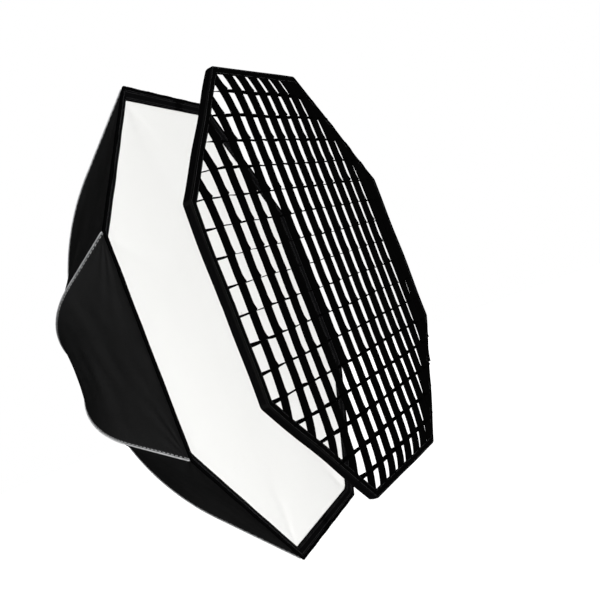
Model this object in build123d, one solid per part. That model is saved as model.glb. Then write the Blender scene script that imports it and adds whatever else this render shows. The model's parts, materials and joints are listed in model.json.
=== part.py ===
"""Folding octagonal softbox, 150 cm, with egg-crate grid and clamp adapter ring.

Frame: the octabox axis lies along Y. Its front faces -Y, the flash head enters the adapter from +Y,
and +Z is up. The origin is on the axis, at the middle of the adapter collar's length.
A place on a section through the axis is written (radius, y). Lengths are in millimetres.
"""
import os
from math import atan2, cos, degrees, pi, radians, sin, sqrt, tan

from build123d import *

SIDES = 8
HALF_SECTOR = 180 / SIDES
TO_FLAT = cos(radians(HALF_SECTOR))  # flat distance over corner radius

# front rim and shell
RIM_RADIUS = 750.0  # to the corners: a 150 cm octabox
FABRIC = 1.2
SEAM_GAP = 3.2  # from a seam plane to the edge of its gore
GORE_FRONT_GAP = 10.2  # from the rim corner to the front edge of a gore, along the seam
PIPING_RADIUS = 2.5
HUB_SEAM_RADIUS = 110.0
HUB_SEAM_Y = -18.0
RIB_FRONT_ANGLE = 37.3  # angle between the front stretch of a rib and the axis
RIB_STRAIGHT = 300.0  # length of that straight stretch
RIB_BEND_RADIUS = 934.0

# rods
ROD_RADIUS = 2.5
ROD_INSET = 10.0  # rod centre line inside the seam line
ROD_FRONT_GAP = 50.0  # from the rim corner to the rod's front end, along the seam
ROD_IN_SOCKET = 13.0  # past the end of the bend
TIP_RADIUS = 4.5
TIP_LENGTH = 22.0
POCKET_WALL = 1.5
SOCKET_RADIUS = 7.0
SOCKET_BORE = 2.85
SOCKET_LENGTH = 38.0
SOCKET_FLOOR = 3.0

# rim, front border and diffusers
HEM_RADIUS = 4.0
BORDER_INNER_RADIUS = 712.0
BORDER_DEPTH = 16.0
BORDER_THICKNESS = 1.5
HOOK_TAPE_WIDTH = 20.0
TAPE_THICKNESS = 1.0
DIFFUSER_RADIUS = 717.0
DIFFUSER_THICKNESS = 1.2
INNER_DEPTH = 222.0
INNER_RADIUS = 480.0
STRAP_WIDTH = 12.0
STRAP_THICKNESS = 1.2
LOOP_RADIUS = 5.0

# adapter ring
BORE_RADIUS = 50.0
COLLAR_WALL = 2.0
COLLAR_LENGTH = 43.0
FLANGE_RADIUS = 76.0
FLANGE_THICKNESS = 2.0
LIP_BEAD_RADIUS = 3.8
LIP_OUTER_RADIUS = 58.0
BASE_BEAD_RADIUS = 2.6
BASE_BEAD_OUTER = 57.0
SPLIT_WIDTH = 9.0
SLOT_LOW_Y = -9.0
SLOT_HEIGHT = 3.0
SLOT_ANGLE = 75.0  # each side of the split

# clamp
EAR_GAP = 14.0
EAR_THICKNESS = 2.0
EAR_WIDTH = 15.0
EAR_FOOT_THICKNESS = 1.5
EAR_FOOT_ANGLES = (9.0, 24.0)  # from the split's middle
CLAMP_Y = 3.5
CLAMP_HEIGHT = 68.0  # screw axis above the adapter axis
SCREW_RADIUS = 2.95
SCREW_CLEARANCE = 0.05
EAR_HOLE_RADIUS = 3.2
WASHER_RADIUS = 6.2
WASHER_THICKNESS = 1.5
NECK_RADIUS = 4.8
NECK_LENGTH = 6.0
KNOB_RADIUS = 7.6
KNOB_LENGTH = 14.0
KNURL_COUNT = 30
KNURL_DEPTH = 0.35
HEX_SOCKET_FLATS = 5.0
HEX_SOCKET_DEPTH = 5.0
NUT_SIDE = 10.0
NUT_THICKNESS = 5.0
SPRING_RADIUS = 4.9
SPRING_WIRE = 1.2
SPRING_TURNS = 5
RIVET_RADIUS = 1.9

# speedring
RING_RADIUS = 98.0
RING_HOLE_RADIUS = 70.0
RING_THICKNESS = 6.0
RECESS_CLEARANCE = 0.08
TAB_PIVOT_RADIUS = 86.0
TAB_REACH = 13.0
TAB_HALF_WIDTH = 5.0
TAB_THICKNESS = 2.0
TAB_GAP = 0.2
TAB_COUNT = 4
TAB_SCREW_RADIUS = 2.0
TAB_HEAD_RADIUS = 4.0
TAB_HEAD_HEIGHT = 2.2
COLLAR_FABRIC = 1.4

# egg-crate grid
GRID_RADIUS = 684.0
GRID_DEPTH = 24.0
GRID_CELLS = 17
GRID_WALL = 1.5
GRID_FLANGE_WIDTH = 22.0
GRID_FLANGE_THICKNESS = 1.2
STRIP_THICKNESS = 0.9
STRIP_END_GAP = 0.6
NOTCH_CLEARANCE = 0.2
GRID_OFF = 165.5  # from the rim plane to the middle of the grid's near edge
GRID_SIDE = 61.0  # the detached grid's shift towards +X
GRID_LIFT = 24.0  # and its shift upwards
GRID_YAW = 8.5  # degrees that the grid is swung open about its near edge
EDGE_TAPE_DEPTH = 18.0
EDGE_TAPE_GAP = 1.8
EDGE_TAPE_THICKNESS = 1.2

COLLAR_FRONT_Y = -COLLAR_LENGTH / 2
RIM_ANGLES = [HALF_SECTOR + k * 2 * HALF_SECTOR for k in range(SIDES)]
FLAT_ANGLES = [k * 2 * HALF_SECTOR for k in range(SIDES)]


# the rib line: straight from the rim, then one bend to the hub ------------------------------------

def rib_end_angle():
    """Angle to the axis at which the bend meets the hub's radius."""
    bend_start = RIM_RADIUS - RIB_STRAIGHT * sin(radians(RIB_FRONT_ANGLE))
    drop = (bend_start - HUB_SEAM_RADIUS) / RIB_BEND_RADIUS
    return degrees(atan2(sqrt(1 - (cos(radians(RIB_FRONT_ANGLE)) - drop) ** 2),
                         cos(radians(RIB_FRONT_ANGLE)) - drop))


RIB_END_ANGLE = rib_end_angle()
SHELL_DEPTH = RIB_STRAIGHT * cos(radians(RIB_FRONT_ANGLE)) + RIB_BEND_RADIUS * (
    sin(radians(RIB_END_ANGLE)) - sin(radians(RIB_FRONT_ANGLE)))
RIM_Y = HUB_SEAM_Y - SHELL_DEPTH


def rib_point(angle, inset=0.0, back=0.0):
    """(radius, y) where the seam line has this angle to the axis, moved inwards by inset.

    back moves the front end of the straight stretch towards the hub.
    """
    front = radians(RIB_FRONT_ANGLE)
    if angle is None:
        radius = RIM_RADIUS - back * sin(front)
        y = RIM_Y + back * cos(front)
        turn = front
    else:
        turn = radians(angle)
        radius = RIM_RADIUS - RIB_STRAIGHT * sin(front) - RIB_BEND_RADIUS * (cos(front) - cos(turn))
        y = RIM_Y + RIB_STRAIGHT * cos(front) + RIB_BEND_RADIUS * (sin(turn) - sin(front))
    return radius - inset * cos(turn), y - inset * sin(turn)


def rib_wire(inset, back=0.0, into_socket=0.0):
    """The seam line moved inwards, as an edge chain in a section plane."""
    start = rib_point(None, inset, back)
    bend = rib_point(RIB_FRONT_ANGLE, inset)
    middle = rib_point((RIB_FRONT_ANGLE + RIB_END_ANGLE) / 2, inset)
    end = rib_point(RIB_END_ANGLE, inset)
    edges = [Line(start, bend), ThreePointArc(bend, middle, end)]
    if into_socket:
        turn = radians(RIB_END_ANGLE)
        last = (end[0] - into_socket * sin(turn), end[1] + into_socket * cos(turn))
        edges.append(Line(end, last))
    return edges


# helpers ------------------------------------------------------------------------------------------

def section_plane(angle):
    """Plane through the axis: its x is the radius and its y is the row's Y."""
    a = radians(angle)
    return Plane(origin=(0, 0, 0), x_dir=(cos(a), 0, sin(a)), z_dir=(-sin(a), 0, cos(a)))


def axial(face, y0, length):
    """Extrude a face drawn in (x, z) from y0 along +Y."""
    plane = Plane(origin=(0, y0, 0), x_dir=(1, 0, 0), z_dir=(0, -1, 0))
    return extrude(plane * face, length, dir=(0, 1, 0))


def ring(r0, r1, y0, y1):
    """Flat ring about the axis, or a disc where r0 is 0."""
    face = Circle(r1) - Circle(r0) if r0 else Circle(r1)
    return axial(face, y0, y1 - y0)


def rod_at(centre, direction, radius, length):
    """Round bar that starts at centre."""
    return extrude(Plane(origin=centre, z_dir=direction) * Circle(radius), length)


def turned(face):
    """Solid of revolution about the axis from a face drawn as (radius, y)."""
    return revolve(section_plane(0) * face, Axis.Y, 360)


def sector(angle, gap=0.0, reach=2 * RIM_RADIUS):
    """Wedge about a flat's middle line, its sides moved in from the seam planes by gap."""
    a = radians(HALF_SECTOR)
    apex = gap / sin(a)
    far = reach * cos(a)
    side = (far - apex) * tan(a)
    wedge = axial(Polygon((apex, 0), (far, side), (far, -side), align=None), -2 * RIM_RADIUS, 4 * RIM_RADIUS)
    return wedge.rotate(Axis.Y, -angle)


def flat_panel(face, angle, gap=0.0):
    """A section drawn as (flat distance, y), run along one side of the octagon to its mitres."""
    slab = extrude(section_plane(angle) * face, RIM_RADIUS, both=True)
    return slab & sector(angle, gap)


def octagon(corner_radius):
    """Octagon with level flats, drawn in (x, z)."""
    points = [(corner_radius * cos(radians(a)), corner_radius * sin(radians(a))) for a in RIM_ANGLES]
    return Polygon(*points, align=None)


def section_sweep(edges, radius, angle):
    """Round bar along a chain of edges drawn in a section plane."""
    path = section_plane(angle) * Curve(edges)
    wire = Wire(path.edges())
    start = wire @ 0
    return sweep(Plane(origin=start, z_dir=wire % 0) * Circle(radius), path=wire)


def at_angle(shape, angle):
    """Turn a shape made at angle 0 about the axis, from +X towards +Z."""
    return shape.rotate(Axis.Y, -angle)


# shell --------------------------------------------------------------------------------------------

def gore_outline():
    """Band of fabric in the section through the middle of a gore."""
    def flat(point, offset):
        radius, y, turn = point
        lean = atan2(sin(turn) * TO_FLAT, cos(turn))
        return radius * TO_FLAT - offset * cos(lean), y - offset * sin(lean)

    front = radians(RIB_FRONT_ANGLE)
    end = radians(RIB_END_ANGLE)
    stations = [(*rib_point(None, 0, GORE_FRONT_GAP), front)]
    for angle in (front, (front + end) / 2, end):
        stations.append((*rib_point(degrees(angle)), angle))
    outer = [flat(p, 0) for p in stations]
    inner = [flat(p, FABRIC) for p in stations]
    edges = [
        Line(outer[0], outer[1]),
        ThreePointArc(outer[1], outer[2], outer[3]),
        Line(outer[3], inner[3]),
        ThreePointArc(inner[3], inner[2], inner[1]),
        Line(inner[1], inner[0]),
        Line(inner[0], outer[0]),
    ]
    return make_face(edges)


def shell_gores():
    outline = gore_outline()
    return {f"shell_gore_{k + 1}": flat_panel(outline, angle, SEAM_GAP)
            for k, angle in enumerate(FLAT_ANGLES)}


def seam_pipings():
    edges = rib_wire(-0.5, back=2 * HEM_RADIUS + PIPING_RADIUS)
    piping = section_sweep(edges, PIPING_RADIUS, 0)
    return {f"seam_piping_{k + 1}": at_angle(piping, angle) for k, angle in enumerate(RIM_ANGLES)}


def rear_collar():
    """Fabric ring that closes the shell behind the speedring."""
    inner = (82.0, HUB_SEAM_Y + 5.5)
    knee = (104.0, HUB_SEAM_Y + 5.5)
    outer = (130.0, HUB_SEAM_Y - 1.2)
    back = COLLAR_FABRIC
    face = Polygon(inner, knee, outer, (outer[0], outer[1] + back), (knee[0], knee[1] + back),
                   (inner[0], inner[1] + back), align=None)
    return turned(face)


# rods and their ends ------------------------------------------------------------------------------

def rib_rods():
    edges = rib_wire(ROD_INSET, back=ROD_FRONT_GAP, into_socket=ROD_IN_SOCKET)
    rod = section_sweep(edges, ROD_RADIUS, 0)
    return {f"rib_rod_{k + 1}": at_angle(rod, angle) for k, angle in enumerate(RIM_ANGLES)}


def rod_front():
    """Front end of a rod at angle 0 and its direction towards the rim."""
    radius, y = rib_point(None, ROD_INSET, ROD_FRONT_GAP)
    turn = radians(RIB_FRONT_ANGLE)
    return (radius, y, 0), (sin(turn), -cos(turn), 0)


def along(start, direction, distance):
    return tuple(s + distance * d for s, d in zip(start, direction))


def rod_tips():
    """Moulded cap on the front end of each rod."""
    end, outward = rod_front()
    back = TIP_LENGTH * 0.6
    cap = rod_at(along(end, outward, -back), outward, TIP_RADIUS, TIP_LENGTH - TIP_RADIUS)
    nose = Sphere(TIP_RADIUS).moved(Location(along(end, outward, TIP_LENGTH - TIP_RADIUS - back)))
    hole = rod_at(along(end, outward, -back - 1), outward, ROD_RADIUS + 0.02, back + 1)
    tip = cap + nose - hole
    return [at_angle(tip, angle) for angle in RIM_ANGLES]


def corner_pockets():
    """Webbing pocket in each rim corner, a cup that the rod tip pushes into."""
    end, outward = rod_front()
    inner = TIP_RADIUS + 0.3
    outer = inner + POCKET_WALL
    mouth = along(end, outward, -TIP_LENGTH * 0.35)
    length = TIP_LENGTH * 0.95
    cup = rod_at(mouth, outward, outer, length) - rod_at(mouth, outward, inner, length - POCKET_WALL)
    return [at_angle(cup, angle) for angle in RIM_ANGLES]


def socket_axis():
    """Closed end of a rod socket at angle 0 and the direction towards its mouth."""
    turn = radians(RIB_END_ANGLE)
    outward = (sin(turn), -cos(turn), 0)
    end = (*rib_point(RIB_END_ANGLE, ROD_INSET), 0)
    return along(end, outward, -ROD_IN_SOCKET - SOCKET_FLOOR - 0.3), outward


def rod_sockets():
    start, outward = socket_axis()
    body = rod_at(start, outward, SOCKET_RADIUS, SOCKET_LENGTH)
    bore = rod_at(along(start, outward, SOCKET_FLOOR), outward, SOCKET_BORE, SOCKET_LENGTH)
    socket = body - bore
    return [at_angle(socket, angle) for angle in RIM_ANGLES]


# rim and diffusers --------------------------------------------------------------------------------

def rim_hem():
    """Rolled outer edge of the rim, one run for each side."""
    centre = (RIM_RADIUS * TO_FLAT - HEM_RADIUS, RIM_Y + HEM_RADIUS)
    face = Pos(*centre) * Circle(HEM_RADIUS)
    return [flat_panel(face, angle) for angle in FLAT_ANGLES]


def border_section(along_start, along_end, lift, thickness):
    """Strip of the front border between two fractions of its width, lifted off its front face."""
    outer = ((RIM_RADIUS - 2 * HEM_RADIUS) * TO_FLAT - 1.0, RIM_Y + HEM_RADIUS)
    inner = (BORDER_INNER_RADIUS * TO_FLAT, RIM_Y + BORDER_DEPTH)
    run = (inner[0] - outer[0], inner[1] - outer[1])
    width = sqrt(run[0] ** 2 + run[1] ** 2)
    normal = (-run[1] / width, run[0] / width)

    def at(fraction, height):
        return (outer[0] + fraction * run[0] + height * normal[0],
                outer[1] + fraction * run[1] + height * normal[1])

    return Polygon(at(along_start, lift), at(along_end, lift),
                   at(along_end, lift + thickness), at(along_start, lift + thickness), align=None)


def front_border():
    face = border_section(0.0, 1.0, -BORDER_THICKNESS, BORDER_THICKNESS)
    return [flat_panel(face, angle) for angle in FLAT_ANGLES]


def border_hook_tape():
    face = border_section(0.2, 0.8, 0.0, TAPE_THICKNESS)
    return [flat_panel(face, angle, 6.0) for angle in FLAT_ANGLES]


def front_diffuser():
    return axial(octagon(DIFFUSER_RADIUS), RIM_Y + BORDER_DEPTH + BORDER_THICKNESS + 0.3, DIFFUSER_THICKNESS)


def inner_diffuser():
    return axial(octagon(INNER_RADIUS), RIM_Y + INNER_DEPTH, DIFFUSER_THICKNESS)


def rod_at_inner_depth():
    """(radius, y) of the rod line in the plane of the inner diffuser."""
    turn = radians(RIB_FRONT_ANGLE)
    radius, y = rib_point(None, ROD_INSET)
    distance = (RIM_Y + INNER_DEPTH + DIFFUSER_THICKNESS / 2 - y) / cos(turn)
    return radius - distance * sin(turn), y + distance * cos(turn)


def inner_straps():
    """Elastic strap from each corner of the inner diffuser to its loop on the rod."""
    rod_radius, _ = rod_at_inner_depth()
    start = INNER_RADIUS + 0.3
    end = rod_radius - LOOP_RADIUS - 3.0
    y = RIM_Y + INNER_DEPTH + DIFFUSER_THICKNESS / 2
    strap = Pos((start + end) / 2, y, 0) * Box(end - start, STRAP_THICKNESS, STRAP_WIDTH)
    return [at_angle(strap, angle) for angle in RIM_ANGLES]


def strap_loops():
    """Stitched loop round the rod at the end of each strap."""
    radius, y = rod_at_inner_depth()
    turn = radians(RIB_FRONT_ANGLE)
    direction = (sin(turn), -cos(turn), 0)
    start = along((radius, y, 0), direction, -STRAP_WIDTH / 2)
    loop = rod_at(start, direction, LOOP_RADIUS, STRAP_WIDTH)
    loop -= rod_at(start, direction, ROD_RADIUS + 0.2, STRAP_WIDTH)
    return [at_angle(loop, angle) for angle in RIM_ANGLES]


# adapter ring -------------------------------------------------------------------------------------

def adapter_ring():
    """Spun ring: flange, collar, rolled lip, base bead, split and two long slots."""
    wall = BORE_RADIUS + COLLAR_WALL
    lip_y = -COLLAR_FRONT_Y - LIP_BEAD_RADIUS
    body = ring(BORE_RADIUS, wall, COLLAR_FRONT_Y, lip_y)
    body += ring(BORE_RADIUS, FLANGE_RADIUS, COLLAR_FRONT_Y, COLLAR_FRONT_Y + FLANGE_THICKNESS)
    body += turned(Pos(LIP_OUTER_RADIUS - LIP_BEAD_RADIUS, lip_y) * Circle(LIP_BEAD_RADIUS))
    base_y = COLLAR_FRONT_Y + FLANGE_THICKNESS + BASE_BEAD_RADIUS * 0.7
    bead = turned(Pos(BASE_BEAD_OUTER - BASE_BEAD_RADIUS, base_y) * Circle(BASE_BEAD_RADIUS))
    keep = ring(BORE_RADIUS, FLANGE_RADIUS, COLLAR_FRONT_Y, COLLAR_LENGTH)
    body += bead & keep
    slot_face = Pos((BORE_RADIUS + LIP_OUTER_RADIUS) / 2, SLOT_LOW_Y + SLOT_HEIGHT / 2) * Rectangle(
        2 * COLLAR_WALL + LIP_OUTER_RADIUS - BORE_RADIUS, SLOT_HEIGHT)
    slot = revolve(section_plane(90 - SLOT_ANGLE) * slot_face, Axis.Y, -2 * SLOT_ANGLE)
    split = Pos(0, SLOT_LOW_Y + COLLAR_LENGTH / 2, LIP_OUTER_RADIUS) * Box(
        SPLIT_WIDTH, COLLAR_LENGTH, LIP_OUTER_RADIUS)
    return body - slot - split


def clamp_ear(side):
    """Bent bracket riveted to the collar beside the split. side is +1 for the knob's side."""
    wall = BORE_RADIUS + COLLAR_WALL
    y0 = CLAMP_Y - EAR_WIDTH / 2
    inner = side * EAR_GAP / 2
    centre = inner + side * EAR_THICKNESS / 2
    top = CLAMP_HEIGHT + EAR_WIDTH / 2
    low = wall * cos(radians(EAR_FOOT_ANGLES[0]))
    tall = top - EAR_WIDTH / 2 - low
    plate = Pos(centre, CLAMP_Y, low + tall / 2) * Box(EAR_THICKNESS, EAR_WIDTH, tall)
    plate += rod_at((inner, CLAMP_Y, CLAMP_HEIGHT), (side, 0, 0), EAR_WIDTH / 2, EAR_THICKNESS)
    plate -= ring(0, wall, y0 - 1, y0 + EAR_WIDTH + 1)
    foot_face = Pos(wall + EAR_FOOT_THICKNESS / 2, CLAMP_Y) * Rectangle(EAR_FOOT_THICKNESS, EAR_WIDTH)
    first = 90 - side * EAR_FOOT_ANGLES[0] * 0.85
    sweep_angle = side * (EAR_FOOT_ANGLES[1] - EAR_FOOT_ANGLES[0] * 0.85)
    plate += revolve(section_plane(first) * foot_face, Axis.Y, sweep_angle)
    hole = rod_at((inner - side, CLAMP_Y, CLAMP_HEIGHT), (side, 0, 0), EAR_HOLE_RADIUS, EAR_THICKNESS + 2)
    return plate - hole


def ear_rivets():
    """Two rivet heads on the foot of each ear."""
    base = BORE_RADIUS + COLLAR_WALL + EAR_FOOT_THICKNESS
    heads = []
    for side in (-1, 1):
        for offset in (-1, 1):
            angle = 90 - side * 19.0
            a = radians(angle)
            outward = (cos(a), 0, sin(a))
            centre = (base * cos(a), CLAMP_Y + offset * EAR_WIDTH * 0.27, base * sin(a))
            heads.append(rod_at(centre, outward, RIVET_RADIUS, 1.2))
    return heads


def clamp_screw():
    tip = -EAR_GAP / 2 - EAR_THICKNESS - NUT_THICKNESS - 3.0
    end = EAR_GAP / 2 + EAR_THICKNESS + WASHER_THICKNESS + 2.0
    return rod_at((tip, CLAMP_Y, CLAMP_HEIGHT), (1, 0, 0), SCREW_RADIUS, end - tip)


def knob_start():
    return EAR_GAP / 2 + EAR_THICKNESS + WASHER_THICKNESS + 0.2


def clamp_knob():
    """Knurled knob with a neck, seated on the screw's end, and a hexagon socket in its outer face."""
    start = knob_start()
    points = []
    for k in range(2 * KNURL_COUNT):
        angle = pi * k / KNURL_COUNT
        radius = KNOB_RADIUS - (k % 2) * KNURL_DEPTH
        points.append((radius * cos(angle), radius * sin(angle)))
    place = Plane(origin=(start + NECK_LENGTH, CLAMP_Y, CLAMP_HEIGHT), z_dir=(1, 0, 0))
    knob = extrude(place * Polygon(*points, align=None), KNOB_LENGTH)
    knob += rod_at((start, CLAMP_Y, CLAMP_HEIGHT), (1, 0, 0), NECK_RADIUS, NECK_LENGTH)
    outer = Plane(origin=(start + NECK_LENGTH + KNOB_LENGTH, CLAMP_Y, CLAMP_HEIGHT), z_dir=(1, 0, 0))
    knob -= extrude(outer * RegularPolygon(HEX_SOCKET_FLATS / 2, 6, major_radius=False), -HEX_SOCKET_DEPTH)
    seat = EAR_GAP / 2 + EAR_THICKNESS + WASHER_THICKNESS + 2.0 - start
    knob -= rod_at((start, CLAMP_Y, CLAMP_HEIGHT), (1, 0, 0), SCREW_RADIUS, seat)
    return knob


def clamp_washer():
    start = (EAR_GAP / 2 + EAR_THICKNESS + 0.1, CLAMP_Y, CLAMP_HEIGHT)
    washer = rod_at(start, (1, 0, 0), WASHER_RADIUS, WASHER_THICKNESS)
    return washer - rod_at(start, (1, 0, 0), SCREW_RADIUS + SCREW_CLEARANCE, WASHER_THICKNESS)


def clamp_nut():
    """Square nut held against the far ear."""
    start = -EAR_GAP / 2 - EAR_THICKNESS
    nut = Pos(start - NUT_THICKNESS / 2, CLAMP_Y, CLAMP_HEIGHT) * Box(NUT_THICKNESS, NUT_SIDE, NUT_SIDE)
    bore = rod_at((start + 1, CLAMP_Y, CLAMP_HEIGHT), (-1, 0, 0), SCREW_RADIUS + SCREW_CLEARANCE,
                  NUT_THICKNESS + 2)
    return nut - bore


def clamp_spring():
    """Compression spring round the screw, between the ears."""
    height = EAR_GAP - SPRING_WIRE - 0.2
    pitch = height / SPRING_TURNS
    helix = Helix(pitch=pitch, height=height, radius=SPRING_RADIUS)
    wire = sweep(Plane(origin=helix @ 0, z_dir=helix % 0) * Circle(SPRING_WIRE / 2), path=helix, is_frenet=True)
    place = Plane(origin=(-height / 2, CLAMP_Y, CLAMP_HEIGHT), x_dir=(0, 0, 1), z_dir=(1, 0, 0))
    return place * wire


# speedring ----------------------------------------------------------------------------------------

def tab_places():
    """(x, z, angle) of each retaining tab's pivot."""
    angles = [k * 360 / TAB_COUNT for k in range(TAB_COUNT)]
    return [(TAB_PIVOT_RADIUS * cos(radians(a)), TAB_PIVOT_RADIUS * sin(radians(a)), a) for a in angles]


def speedring():
    """Ring plate with a front recess for the flange, notches for the sockets and tapped holes."""
    back = COLLAR_FRONT_Y + RING_THICKNESS
    plate = ring(RING_HOLE_RADIUS, RING_RADIUS, COLLAR_FRONT_Y, back)
    plate -= ring(0, FLANGE_RADIUS + RECESS_CLEARANCE, COLLAR_FRONT_Y - 1, COLLAR_FRONT_Y + FLANGE_THICKNESS + 0.1)
    start, outward = socket_axis()
    notch = rod_at(start, outward, SOCKET_RADIUS + 0.02, SOCKET_LENGTH)
    for angle in RIM_ANGLES:
        plate -= at_angle(notch, angle)
    for x, z, _ in tab_places():
        plate -= rod_at((x, COLLAR_FRONT_Y - 1, z), (0, 1, 0), TAB_SCREW_RADIUS, RING_THICKNESS + 2)
    return plate


def retaining_tab(x, z, angle):
    """Tab that reaches inwards over the flange and turns on its screw."""
    a = radians(angle)
    tip = (x - TAB_REACH * cos(a), z - TAB_REACH * sin(a))
    front = COLLAR_FRONT_Y - TAB_GAP - TAB_THICKNESS
    bar = Pos((x + tip[0]) / 2, (z + tip[1]) / 2) * Rotation(0, 0, angle) * Rectangle(TAB_REACH, 2 * TAB_HALF_WIDTH)
    face = bar + Pos(x, z) * Circle(TAB_HALF_WIDTH) + Pos(*tip) * Circle(TAB_HALF_WIDTH)
    face -= Pos(x, z) * Circle(TAB_SCREW_RADIUS + 0.08)
    return axial(face, front, TAB_THICKNESS)


def tab_screws():
    front = COLLAR_FRONT_Y - TAB_GAP - TAB_THICKNESS - TAB_GAP
    screws = []
    for x, z, _ in tab_places():
        head = rod_at((x, front - TAB_HEAD_HEIGHT, z), (0, 1, 0), TAB_HEAD_RADIUS, TAB_HEAD_HEIGHT)
        shank = rod_at((x, front, z), (0, 1, 0), TAB_SCREW_RADIUS, TAB_THICKNESS + 2 * TAB_GAP + RING_THICKNESS)
        screws.append(head + shank)
    return screws


# egg-crate grid -----------------------------------------------------------------------------------

GRID_FLAT = GRID_RADIUS * TO_FLAT
CELL = 2 * (GRID_FLAT - GRID_WALL) / GRID_CELLS
STRIP_PLACES = [(k + 1 - GRID_CELLS / 2) * CELL for k in range(GRID_CELLS - 1)]
GRID_Y = RIM_Y - GRID_OFF
HINGE_X = -(GRID_FLAT + EDGE_TAPE_GAP + EDGE_TAPE_THICKNESS / 2)
SEATED_Y = RIM_Y + BORDER_DEPTH - 1.0 - GRID_DEPTH / 2
GRID_TRAVEL = (-GRID_SIDE, SEATED_Y - GRID_Y, -GRID_LIFT)  # straight back into the border


def swung(shape):
    """Place a grid piece drawn flat about y = 0 at the grid's rest pose."""
    hinge = Axis((GRID_SIDE + HINGE_X, GRID_Y, GRID_LIFT), (0, 0, 1))
    return shape.moved(Location((GRID_SIDE, GRID_Y, GRID_LIFT))).rotate(hinge, -GRID_YAW)


def grid_border():
    """Angle-section border: a deep outer band with a flat flange along its front edge."""
    outer = GRID_FLAT
    front = -GRID_DEPTH / 2
    back = GRID_DEPTH / 2
    lip = front + GRID_FLANGE_THICKNESS
    face = Polygon((outer, front), (outer, back), (outer - GRID_WALL, back), (outer - GRID_WALL, lip),
                   (outer - GRID_FLANGE_WIDTH, lip), (outer - GRID_FLANGE_WIDTH, front), align=None)
    return [swung(flat_panel(face, angle)) for angle in FLAT_ANGLES]


def grid_loop_tape():
    """Loop tape round the outside of the border, on every side but the near one."""
    outer = GRID_FLAT
    half = EDGE_TAPE_DEPTH / 2
    face = Polygon((outer, -half), (outer + TAPE_THICKNESS, -half), (outer + TAPE_THICKNESS, half),
                   (outer, half), align=None)
    return [swung(flat_panel(face, angle, 4.0)) for angle in FLAT_ANGLES if angle != 180]


def grid_edge_tape():
    """Tape of the near edge, which the grid swings from while it still holds."""
    length = 2 * GRID_RADIUS * sin(radians(HALF_SECTOR)) - 16.0
    tape = Pos(HINGE_X, 0, 0) * Box(EDGE_TAPE_THICKNESS, EDGE_TAPE_DEPTH, length)
    return swung(tape)


def strip_reach(place):
    """Half the length of a strip that crosses the octagon at this distance from its middle."""
    inside = GRID_FLAT - GRID_WALL
    return min(inside, inside * sqrt(2) - abs(place) - STRIP_THICKNESS / 2) - STRIP_END_GAP


def comb_strip(place, open_side):
    """Strip outline drawn as (along, depth), notched half way at each crossing from one side."""
    reach = strip_reach(place)
    front = -GRID_DEPTH / 2 + GRID_FLANGE_THICKNESS + 0.3
    back = GRID_DEPTH / 2
    middle = (front + back) / 2
    strip = Pos(0, middle) * Rectangle(2 * reach, back - front)
    half_notch = STRIP_THICKNESS / 2 + NOTCH_CLEARANCE
    open_end = (back + 1) if open_side > 0 else (front - 1)
    start = middle - open_side * NOTCH_CLEARANCE
    for crossing in STRIP_PLACES:
        if abs(crossing) - half_notch < reach:
            strip -= Pos(crossing, (start + open_end) / 2) * Rectangle(2 * half_notch, abs(open_end - start))
    return strip


def grid_vertical_strips():
    strips = []
    for place in STRIP_PLACES:
        plane = Plane(origin=(place, 0, 0), x_dir=(0, 0, 1), z_dir=(-1, 0, 0))
        strips.append(swung(extrude(plane * comb_strip(place, 1), STRIP_THICKNESS / 2, both=True)))
    return strips


def grid_horizontal_strips():
    strips = []
    for place in STRIP_PLACES:
        plane = Plane(origin=(0, 0, place), x_dir=(1, 0, 0), z_dir=(0, 0, 1))
        strips.append(swung(extrude(plane * comb_strip(place, -1), STRIP_THICKNESS / 2, both=True)))
    return strips


# write every node ---------------------------------------------------------------------------------

def nodes():
    parts = {
        "adapter_ring": adapter_ring(),
        "clamp_ear_knob_side": clamp_ear(1),
        "clamp_ear_nut_side": clamp_ear(-1),
        "ear_rivets": ear_rivets(),
        "clamp_nut": clamp_nut(),
        "clamp_spring": clamp_spring(),
        "clamp_washer": clamp_washer(),
        "clamp_screw": clamp_screw(),
        "clamp_knob": clamp_knob(),
        "speedring": speedring(),
        "rod_sockets": rod_sockets(),
        "tab_screws": tab_screws(),
        "rod_tips": rod_tips(),
        "corner_pockets": corner_pockets(),
        "rim_hem": rim_hem(),
        "front_border": front_border(),
        "border_hook_tape": border_hook_tape(),
        "front_diffuser": front_diffuser(),
        "inner_diffuser": inner_diffuser(),
        "inner_straps": inner_straps(),
        "strap_loops": strap_loops(),
        "rear_collar": rear_collar(),
        "grid_border": grid_border(),
        "grid_loop_tape": grid_loop_tape(),
        "grid_edge_tape": grid_edge_tape(),
        "grid_vertical_strips": grid_vertical_strips(),
        "grid_horizontal_strips": grid_horizontal_strips(),
    }
    parts.update(shell_gores())
    parts.update(seam_pipings())
    parts.update(rib_rods())
    for k, place in enumerate(tab_places()):
        parts[f"retaining_tab_{k + 1}"] = retaining_tab(*place)
    return parts


def write(name, shape):
    pieces = shape if isinstance(shape, list) else [shape]
    solids = [solid for piece in pieces for solid in piece.solids()]
    body = solids[0] if len(solids) == 1 else Compound(children=solids)
    export_step(body, f"parts/{name}.step")


os.makedirs("parts", exist_ok=True)
for node_name, node_shape in nodes().items():
    write(node_name, node_shape)

print("rib end angle", round(RIB_END_ANGLE, 2), "rim y", round(RIM_Y, 2))
print("grid hinge", round(GRID_SIDE + HINGE_X, 3), round(GRID_Y, 3), "travel", [round(t, 3) for t in GRID_TRAVEL])
print("cell", round(CELL, 2), "flat", round(GRID_FLAT, 2))
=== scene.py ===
"""Looks of the octabox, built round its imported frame: shell, seams, rim, diffusers, grid and metal parts.

The octabox axis lies along Y and its front faces -Y. Lengths are in metres.
"""
import json
import math

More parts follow.
